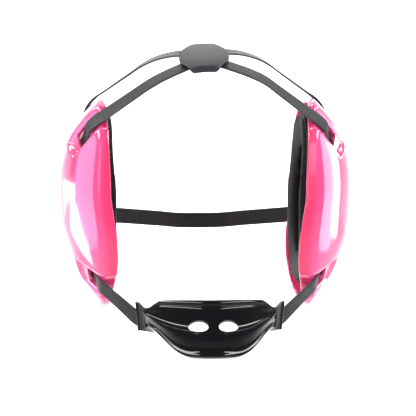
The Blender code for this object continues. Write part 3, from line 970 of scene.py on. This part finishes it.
def nape_strap_knots():
    left = threaded_knots("nape")
    for x, y, z, across, along in NAPE_STRAP_TURN:
        left.append([x, y, z, across, along, 0.0])
    for x, y, z in NAPE_STRAP_ON_HEAD:
        away = unit(np.array((x, y - SKULL_CENTRE[1])) / SKULL_RADII[:2] ** 2)
        left.append([x, y, z, *away, 0.0])
    right = [[-x, y, z, -across, along, up] for x, y, z, across, along, up in left[-2::-1]]
    return left + right


for side_name, side in SIDES:
    strap = sweep_webbing(f"chin_strap_{side_name}_webbing", chin_strap_knots(), side)
    finish_piece(strap, WEBBING, "webbing", f"chin_strap_{side_name}")
nape = sweep_webbing("nape_strap_webbing", nape_strap_knots())
finish_piece(nape, WEBBING, "webbing", "nape_strap")

# %% [markdown]
# ## Crown plate
#
# The plate is an eight-sided pad of rubber that takes the curve of the head. Its edge is rounded over, and
# its front lip curls down over the straps' ends. It could be a box with a bevel and a shrinkwrap, but as a
# skin its underside is as exact as its top, because both are offsets from the same skull.

# %% Build the crown plate
PLATE_MIDDLE_Y = -50.2
PLATE_TILT = 23.0
PLATE_HALF_WIDTH = 16.8
PLATE_HALF_LENGTH = 19.6
PLATE_CHAMFER_ACROSS = 8.7
PLATE_CHAMFER_FRONT = 12.5
PLATE_CHAMFER_REAR = 13.5
PLATE_THICKNESS = 3.0
PLATE_OVER_HEAD = 2.7
PLATE_LIP_DROP = 2.1
PLATE_LIP_FROM = 14.5
PLATE_LIP_OVER = 3.5
# How far the edge is rounded over at the top and at the bottom: share of the outline, and millimetres
PLATE_TOP_EDGE = (0.06, 1.1)
PLATE_BOTTOM_EDGE = (0.03, 0.6)


def plate_outline(steps=14, smoothings=4):
    side, narrow = PLATE_HALF_WIDTH, PLATE_HALF_WIDTH - PLATE_CHAMFER_ACROSS
    rear, front = PLATE_HALF_LENGTH, -PLATE_HALF_LENGTH
    corners = np.array([
        (side, front + PLATE_CHAMFER_FRONT), (side, rear - PLATE_CHAMFER_REAR), (narrow, rear),
        (-narrow, rear), (-side, rear - PLATE_CHAMFER_REAR), (-side, front + PLATE_CHAMFER_FRONT),
        (-narrow, front), (narrow, front),
    ])
    shares = np.arange(steps)[:, None] / steps
    edges = np.concatenate([a + (b - a) * shares for a, b in zip(corners, np.roll(corners, -1, axis=0))])
    for _ in range(smoothings):
        edges = (np.roll(edges, 1, axis=0) + 2.0 * edges + np.roll(edges, -1, axis=0)) / 4.0
    return edges


def plate_grid():
    outline = plate_outline()
    bottom, top = PLATE_OVER_HEAD, PLATE_OVER_HEAD + PLATE_THICKNESS
    inner_shares = np.linspace(0.04, 0.9, 12)
    rises = [(math.sin(turn), 1.0 - math.cos(turn)) for turn in np.linspace(0.0, math.pi / 2.0, 7)]
    # Share of the outline, offset from the head, share of the lip's drop
    rows = [(share, top, 0.0) for share in inner_shares]
    wide, deep = PLATE_TOP_EDGE
    rows += [(1.0 - wide * (1.0 - out), top - deep * down, 0.0) for out, down in rises]
    wide, deep = PLATE_BOTTOM_EDGE
    rows += [(1.0 - wide * back, bottom + deep * (1.0 - down), 1.0) for down, back in rises]
    rows += [(share, bottom, 1.0) for share in inner_shares[::-1]]
    lengthways = math.cos(math.radians(PLATE_TILT))
    grid = []
    for share, offset, drops in rows:
        flat = outline * share
        drop = PLATE_LIP_DROP * drops * smoothstep((-flat[:, 1] - PLATE_LIP_FROM) / PLATE_LIP_OVER)
        places = flat * (1.0, lengthways) + (CROWN_SHIFT, PLATE_MIDDLE_Y)
        grid.append(over_skull(places[:, 0], places[:, 1], offset - drop)[0])
    return np.array(grid)


plate = skin("crown_plate_rubber", plate_grid())
finish_piece(plate, RUBBER, "plate", "crown_plate")
report(plate)

# %% [markdown]
# ## Ear rings
#
# Each ring is foam in a knitted cover. It is modelled a little too thin, and Blender's cloth blows it up
# against its own skin, which gives the soft crowned face that a flat ring can't have. The movement is
# capped, so that the ring stays clear of the shell.

# %% Foam ring
PAD_HALF_WIDTH = 47.5
PAD_TOP_Z = 66.0
PAD_BOTTOM_Z = -63.0
PAD_MIDDLE_Z = (PAD_TOP_Z + PAD_BOTTOM_Z) / 2.0
PAD_HOLE_HALF_WIDTH = 27.0
PAD_HOLE_HALF_HEIGHT = 38.0
PAD_SQUARENESS = 3.0
PAD_EDGE = 3.0
PAD_HOLLOWING = 3.0
# Degrees from the face side upwards, x of the head side, x of the shell side
PAD_FACES = (
    (0.0, 64.5, 76.5),
    (60.0, 67.5, 77.0),
    (90.0, 69.5, 77.0),
    (120.0, 67.5, 77.0),
    (180.0, 64.5, 76.5),
    (270.0, 65.5, 74.0),
)
STARTS_SMALLER = 0.9
# The cloth: size of a remeshed face, pressure, how far a point may move, and how many frames it has
PUFF_VOXEL = 3.5 * MM
PUFF_PRESSURE = 4.0
PUFF_CAP = 1.2 * MM
PUFF_FRAMES = 20


def pad_outlines(angle):
    outer = superellipse(angle, PAD_HALF_WIDTH, PAD_TOP_Z - PAD_MIDDLE_Z, PAD_SQUARENESS)
    return outer, superellipse(angle, PAD_HOLE_HALF_WIDTH, PAD_HOLE_HALF_HEIGHT, PAD_SQUARENESS)


def pad_grid(shrink):
    angle = np.linspace(0.0, math.tau, 180, endpoint=False)
    head_side, shell_side = np.moveaxis(eased_table(PAD_FACES, np.degrees(angle)), -1, 0)
    outer, inner = pad_outlines(angle)
    outer, inner = outer - shrink, inner + shrink
    head_side, shell_side = head_side + shrink, shell_side - shrink
    hollow = head_side + PAD_HOLLOWING
    control = (
        (outer, head_side + PAD_EDGE), (outer - PAD_EDGE, head_side), (inner + PAD_EDGE, hollow),
        (inner, hollow + PAD_EDGE), (inner, shell_side - PAD_EDGE), (inner + PAD_EDGE, shell_side),
        (outer - PAD_EDGE, shell_side), (outer, shell_side - PAD_EDGE),
    )
    rows = [round_ear(x, angle, radius, PAD_MIDDLE_Z) for radius, x in control]
    columns = [closed_spline(column, 4) for column in np.array(rows).transpose(1, 0, 2)]
    return np.array(columns).transpose(1, 0, 2)


def puff_up(piece):
    """Remeshes the piece, inflates it as cloth, and caps how far each point may move."""
    remesh = piece.modifiers.new("remesh", "REMESH")
    remesh.mode = "VOXEL"
    remesh.voxel_size = PUFF_VOXEL
    bake_modifiers(piece)
    before = vertex_places(piece)
    cloth = piece.modifiers.new("cloth", "CLOTH")
    cloth.settings.use_pressure = True
    cloth.settings.uniform_pressure_force = PUFF_PRESSURE
    cloth.settings.effector_weights.gravity = 0.0
    cloth.point_cache.frame_start, cloth.point_cache.frame_end = 1, PUFF_FRAMES
    for number in range(1, PUFF_FRAMES + 1):
        bpy.context.scene.frame_set(number)
    bake_modifiers(piece)
    bpy.context.scene.frame_set(1)
    moved = vertex_places(piece) - before
    distance = np.linalg.norm(moved, axis=1, keepdims=True)
    capped = before + moved * np.minimum(1.0, PUFF_CAP / np.maximum(distance, 1e-9))
    piece.data.vertices.foreach_set("co", capped.reshape(-1))
    print(f"{piece.name}: moved up to {distance.max() / MM:.1f} mm, capped at {PUFF_CAP / MM:.1f} mm")


pad_left = skin("ear_pad_left_foam", pad_grid(STARTS_SMALLER), closed_rows=True)
puff_up(pad_left)
smoother = pad_left.modifiers.new("smoother", "SUBSURF")
smoother.levels = smoother.render_levels = 1
bake_modifiers(pad_left)
pad_right = mirrored(pad_left, "ear_pad_right_foam")
for piece, node in ((pad_left, "ear_pad_left"), (pad_right, "ear_pad_right")):
    piece.data.shade_smooth()
    finish_piece(piece, KNIT, "pad", node)
    report(piece)

# %% [markdown]
# **Stitched seam.** The cover of each ring is closed by a row of short stitches round its waist. Hundreds of
# threads could be set by hand, but they only repeat along a path, which is what Geometry Nodes are for: the
# path is resampled to the stitch spacing, each point is laid on the nearest cloth, and a small thread is
# set on it along the path. The thread is two plies of spun polyester, slightly paler than the cloth.

# %% Thread
THREAD, tree = new_material("spun_polyester_thread")
plies = add_node(
    tree, "ShaderNodeTexWave", {"bands_direction": "DIAGONAL"}, Vector=on_piece(tree), Scale=320.0,
)
twist = plies.outputs["Fac"]
colour = mixed(tree, twist, linear("#1c1d1f"), linear("#34363a"))
finish_material(tree, Base_Color=colour, Roughness=0.55, Normal=bumped(tree, twist, 0.4, 0.0002))
print("made", THREAD.name)

# %% Stitching tree


def stitching_tree():
    tree = bpy.data.node_groups.new("stitches_along_a_path", "GeometryNodeTree")
    for label, kind in (
        ("Path", "Geometry"), ("Cloth", "Object"), ("Thread", "Material"),
        ("Stitch spacing", "Float"), ("Stitch length", "Float"), ("Thread radius", "Float"),
    ):
        tree.interface.new_socket(label, in_out="INPUT", socket_type=f"NodeSocket{kind}")
    tree.interface.new_socket("Stitches", in_out="OUTPUT", socket_type="NodeSocketGeometry")
    given = add_node(tree, "NodeGroupInput").outputs
    path = add_node(tree, "GeometryNodeMeshToCurve", Mesh=given["Path"])
    spaced = add_node(
        tree, "GeometryNodeResampleCurve", {"mode": "LENGTH"}, Curve=path.outputs["Curve"],
        Length=given["Stitch spacing"],
    )
    cloth = add_node(tree, "GeometryNodeObjectInfo", Object=given["Cloth"])
    nearest = add_node(tree, "GeometryNodeProximity", _0=cloth.outputs["Geometry"])
    laid = add_node(
        tree, "GeometryNodeSetPosition", Geometry=spaced.outputs["Curve"],
        Position=nearest.outputs["Position"],
    )
    tangent = add_node(tree, "GeometryNodeInputTangent")
    turned = add_node(
        tree, "FunctionNodeAlignRotationToVector", {"axis": "Z"}, Vector=tangent.outputs["Tangent"],
    )
    size = add_node(
        tree, "ShaderNodeCombineXYZ", X=given["Thread radius"], Y=given["Thread radius"],
        Z=given["Stitch length"],
    )
    bead = add_node(tree, "GeometryNodeMeshUVSphere", Segments=6, Rings=5, Radius=1.0)
    placed = add_node(
        tree, "GeometryNodeInstanceOnPoints", Points=laid.outputs["Geometry"], Instance=bead.outputs["Mesh"],
        Rotation=turned.outputs["Rotation"], Scale=size.outputs["Vector"],
    )
    real = add_node(tree, "GeometryNodeRealizeInstances", Geometry=placed.outputs["Instances"])
    dressed = add_node(
        tree, "GeometryNodeSetMaterial", Geometry=real.outputs["Geometry"], Material=given["Thread"],
    )
    add_node(tree, "NodeGroupOutput", Stitches=dressed.outputs["Geometry"])
    return tree


STITCHING = stitching_tree()
print("inputs:", [item.name for item in STITCHING.interface.items_tree if item.in_out == "INPUT"])

# %% Sew the rings
SEAM_X = 70.5
SEAM_OUTSIDE = 1.0
SEWING = {"Stitch spacing": 3.6 * MM, "Stitch length": 1.4 * MM, "Thread radius": 0.45 * MM}


def sew(name, path, cloth):
    edges = [(i, (i + 1) % len(path)) for i in range(len(path))]
    seam = new_piece(name, place(path).tolist(), edges, [])
    stitching = seam.modifiers.new("stitching", "NODES")
    stitching.node_group = STITCHING
    values = {"Cloth": cloth, "Thread": THREAD, **SEWING}
    for item in STITCHING.interface.items_tree:
        if item.name in values:
            stitching[item.identifier] = values[item.name]
    bake_modifiers(seam)
    seam.data.shade_smooth()
    return seam


def seam_path(side):
    angle = np.linspace(0.0, math.tau, 240, endpoint=False)
    return round_ear(SEAM_X * side, angle, pad_outlines(angle)[0] + SEAM_OUTSIDE, PAD_MIDDLE_Z)


for side_name, side in SIDES:
    ring = pad_left if side > 0.0 else pad_right
    seam = sew(f"ear_pad_{side_name}_seam", seam_path(side), ring)
    finish_piece(seam, THREAD, "pad")
    report(seam)

# %% [markdown]
# ## Studio
#
# A plain pale floor curves up into a backdrop behind the guard, which hangs well above it. Two lamps wash
# the backdrop, so it stays white while black pieces still have something dark to mirror. A glossy dome
# mirrors its lamps, and their shapes are what makes it read as glossy: softboxes a little behind each side
# give the white highlights, large pale screens beside the domes the bluish pink round them, and dim screens
# behind the paler outer edges. Two strips above draw thin lines on the cup. All of these show only as
# reflections, and two fills that don't reflect give the soft light.

# %% Floor and backdrop
FLOOR_Z = -0.42
SWEEP_HALF_WIDTH = 4.0
SWEEP_FRONT_Y = -3.0
SWEEP_CURVE_Y = 1.2
SWEEP_CURVE_RADIUS = 0.9
SWEEP_TOP_Z = 3.5

profile = [(SWEEP_FRONT_Y, FLOOR_Z)]
for turn in np.linspace(0.0, math.pi / 2.0, 12):
    back, up = SWEEP_CURVE_RADIUS * math.sin(turn), SWEEP_CURVE_RADIUS * (1.0 - math.cos(turn))
    profile.append((SWEEP_CURVE_Y + back, FLOOR_Z + up))
profile.append((SWEEP_CURVE_Y + SWEEP_CURVE_RADIUS, SWEEP_TOP_Z))
points = [(x, y, z) for y, z in profile for x in (-SWEEP_HALF_WIDTH, SWEEP_HALF_WIDTH)]
faces = [(2 * i, 2 * i + 1, 2 * i + 3, 2 * i + 2) for i in range(len(profile) - 1)]
sweep = new_piece("studio_sweep", points, [], faces)
sweep.data.shade_smooth()
paper, tree = new_material("white_studio_paper")
finish_material(tree, Base_Color=linear("#fafafa"), Roughness=0.9)
sweep.data.materials.append(paper)
sweep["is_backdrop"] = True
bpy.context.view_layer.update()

# %% [markdown]
# A lamp is placed by the direction it stands in, seen from a dome or from between the ears: degrees to the
# right of straight ahead and degrees up. Its strength is given as how bright its face looks, because that
# is what the plastic mirrors: at 16, a reflection of one part in sixteen is already white. Black webbing
# and vinyl would turn grey beside such lamps. A photographer stands a black flag between; light linking
# does the same here.

# %% Lamps and world
GUARD_MIDDLE = place((0.0, 0.0, 0.0))
# Where each dome mirrors most of its lamps to the camera
DOME_RIGHT = place((-93.0, -40.0, -5.0))
DOME_LEFT = place((93.0, -40.0, 5.0))
WHITE, SKY, PEARL, ROSE = "#ffffff", "#c0cfff", "#e0e6ff", "#ffeef0"
# Name, seen from, towards, distance, width and height in metres, brightness, colour, roll in degrees
SIDE_LAMPS = (
    ("left_softbox_high", DOME_RIGHT, (-120.5, -3.2), 1.2, (0.64, 0.13), 16.0),
    ("left_softbox_low", DOME_RIGHT, (-106.0, -15.5), 0.6, (0.27, 0.12), 16.0, WHITE, -39.0),
    ("right_softbox", DOME_LEFT, (106.5, 1.0), 1.2, (0.23, 0.64), 16.0),
    ("right_softbox_top", DOME_LEFT, (126.0, 12.0), 1.2, (0.78, 0.1), 16.0),
    ("left_screen", DOME_RIGHT, (-86.0, 3.0), 0.9, (0.62, 0.72), 5.2, SKY),
    ("right_screen", DOME_LEFT, (90.0, 3.0), 0.9, (0.42, 0.72), 6.4, PEARL),
    ("front_card", DOME_LEFT, (-14.0, 12.0), 1.2, (0.42, 0.64), 3.0, PEARL),
    ("left_screen_behind", DOME_RIGHT, (-138.0, -4.0), 0.9, (0.73, 0.5), 1.4, ROSE),
    ("right_screen_behind", DOME_LEFT, (138.0, 1.0), 0.9, (0.73, 0.36), 1.3, ROSE),
)
STRIPS = (
    ("left_strip", GUARD_MIDDLE, (-72.5, 36.0), 1.3, (1.59, 0.18), 24.0),
    ("right_strip", GUARD_MIDDLE, (67.0, 36.0), 1.3, (1.56, 0.18), 24.0),
)


def direction(azimuth, elevation):
    azimuth, elevation = math.radians(azimuth), math.radians(elevation)
    level = math.cos(elevation)
    return np.array((math.sin(azimuth) * level, -math.cos(azimuth) * level, math.sin(elevation)))


def softbox(name, seen_from, towards, distance, size, brightness, tint=WHITE, roll=0.0, aim=None):
    lamp = bpy.data.lights.new(name, "AREA")
    lamp.shape = "RECTANGLE"
    lamp.size, lamp.size_y = size
    lamp.energy = brightness * math.pi * size[0] * size[1]
    lamp.color = linear(tint)[:3]
    holder = link_piece(name, lamp)
    holder.location = seen_from + direction(*towards) * distance
    facing = Vector((seen_from if aim is None else aim) - np.array(holder.location))
    turned = facing.to_track_quat("-Z", "Y") @ Quaternion((0.0, 0.0, 1.0), math.radians(roll))
    holder.rotation_euler = turned.to_euler()
    return holder


side_lamps = [softbox(*row) for row in SIDE_LAMPS]
for lamp in side_lamps + [softbox(*row) for row in STRIPS]:
    lamp.visible_diffuse = False
for side_name, side in SIDES:
    fill = softbox(f"fill_{side_name}", GUARD_MIDDLE, (side * 52.0, 36.0), 1.3, (1.3, 0.18), 12.0)
    fill.visible_glossy = False
for side_name, side in SIDES:
    name, aim = f"backdrop_lamp_{side_name}", np.array((side * 0.5, 2.0, -0.3))
    softbox(name, GUARD_MIDDLE, (180.0 - side * 35.0, 55.0), 1.4, (1.2, 0.4), 22.0, aim=aim)

flagged = bpy.data.collections.new("flagged_from_side_lamps")
for thing in bpy.data.objects:
    if thing.name.endswith(("_webbing", "_vinyl")):
        flagged.objects.link(thing)
for linked in flagged.collection_objects:
    linked.light_linking.link_state = "EXCLUDE"
for lamp in side_lamps:
    lamp.light_linking.receiver_collection = flagged

world = bpy.data.worlds.new("studio_air")
world.use_nodes = True
background = world.node_tree.nodes["Background"]
background.inputs["Color"].default_value = linear("#f4f6ff")
background.inputs["Strength"].default_value = 0.38
bpy.context.scene.world = world
bpy.context.scene.view_settings.view_transform = "Standard"

# %% [markdown]
# ## Camera
#
# The camera stands 1.3 m in front, a little to the left and a little above the ears. Its lens makes one
# pixel of a 416 pixel picture 0.745 mm at the ears.

# %% Camera
CAMERA_AZIMUTH = -3.2
CAMERA_ELEVATION = 3.5
CAMERA_DISTANCE = 1300.0
CAMERA_TARGET = np.array((2.2, 0.0, -6.0))
PIXEL_AT_TARGET = 0.745
PICTURE_WIDTH = 416
SENSOR_WIDTH = 36.0

back = direction(CAMERA_AZIMUTH, CAMERA_ELEVATION)
camera = link_piece("camera", bpy.data.cameras.new("camera"))
camera.location = place(CAMERA_TARGET + back * CAMERA_DISTANCE)
camera.rotation_euler = Vector(-back).to_track_quat("-Z", "Y").to_euler()
camera.data.sensor_width = SENSOR_WIDTH
camera.data.lens = SENSOR_WIDTH * CAMERA_DISTANCE / (PIXEL_AT_TARGET * PICTURE_WIDTH)
bpy.context.scene.camera = camera
print(f"lens {camera.data.lens:.0f} mm at {tuple(round(c, 3) for c in camera.location)}")

# %% Print the sizes of the solids and of the visual pieces, and finish
boxes = {"solids": SOLIDS_BOX, "visual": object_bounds()}
for name, box in boxes.items():
    print(name, [round((high - low) / MM, 1) for low, high in zip(*box)], "mm")
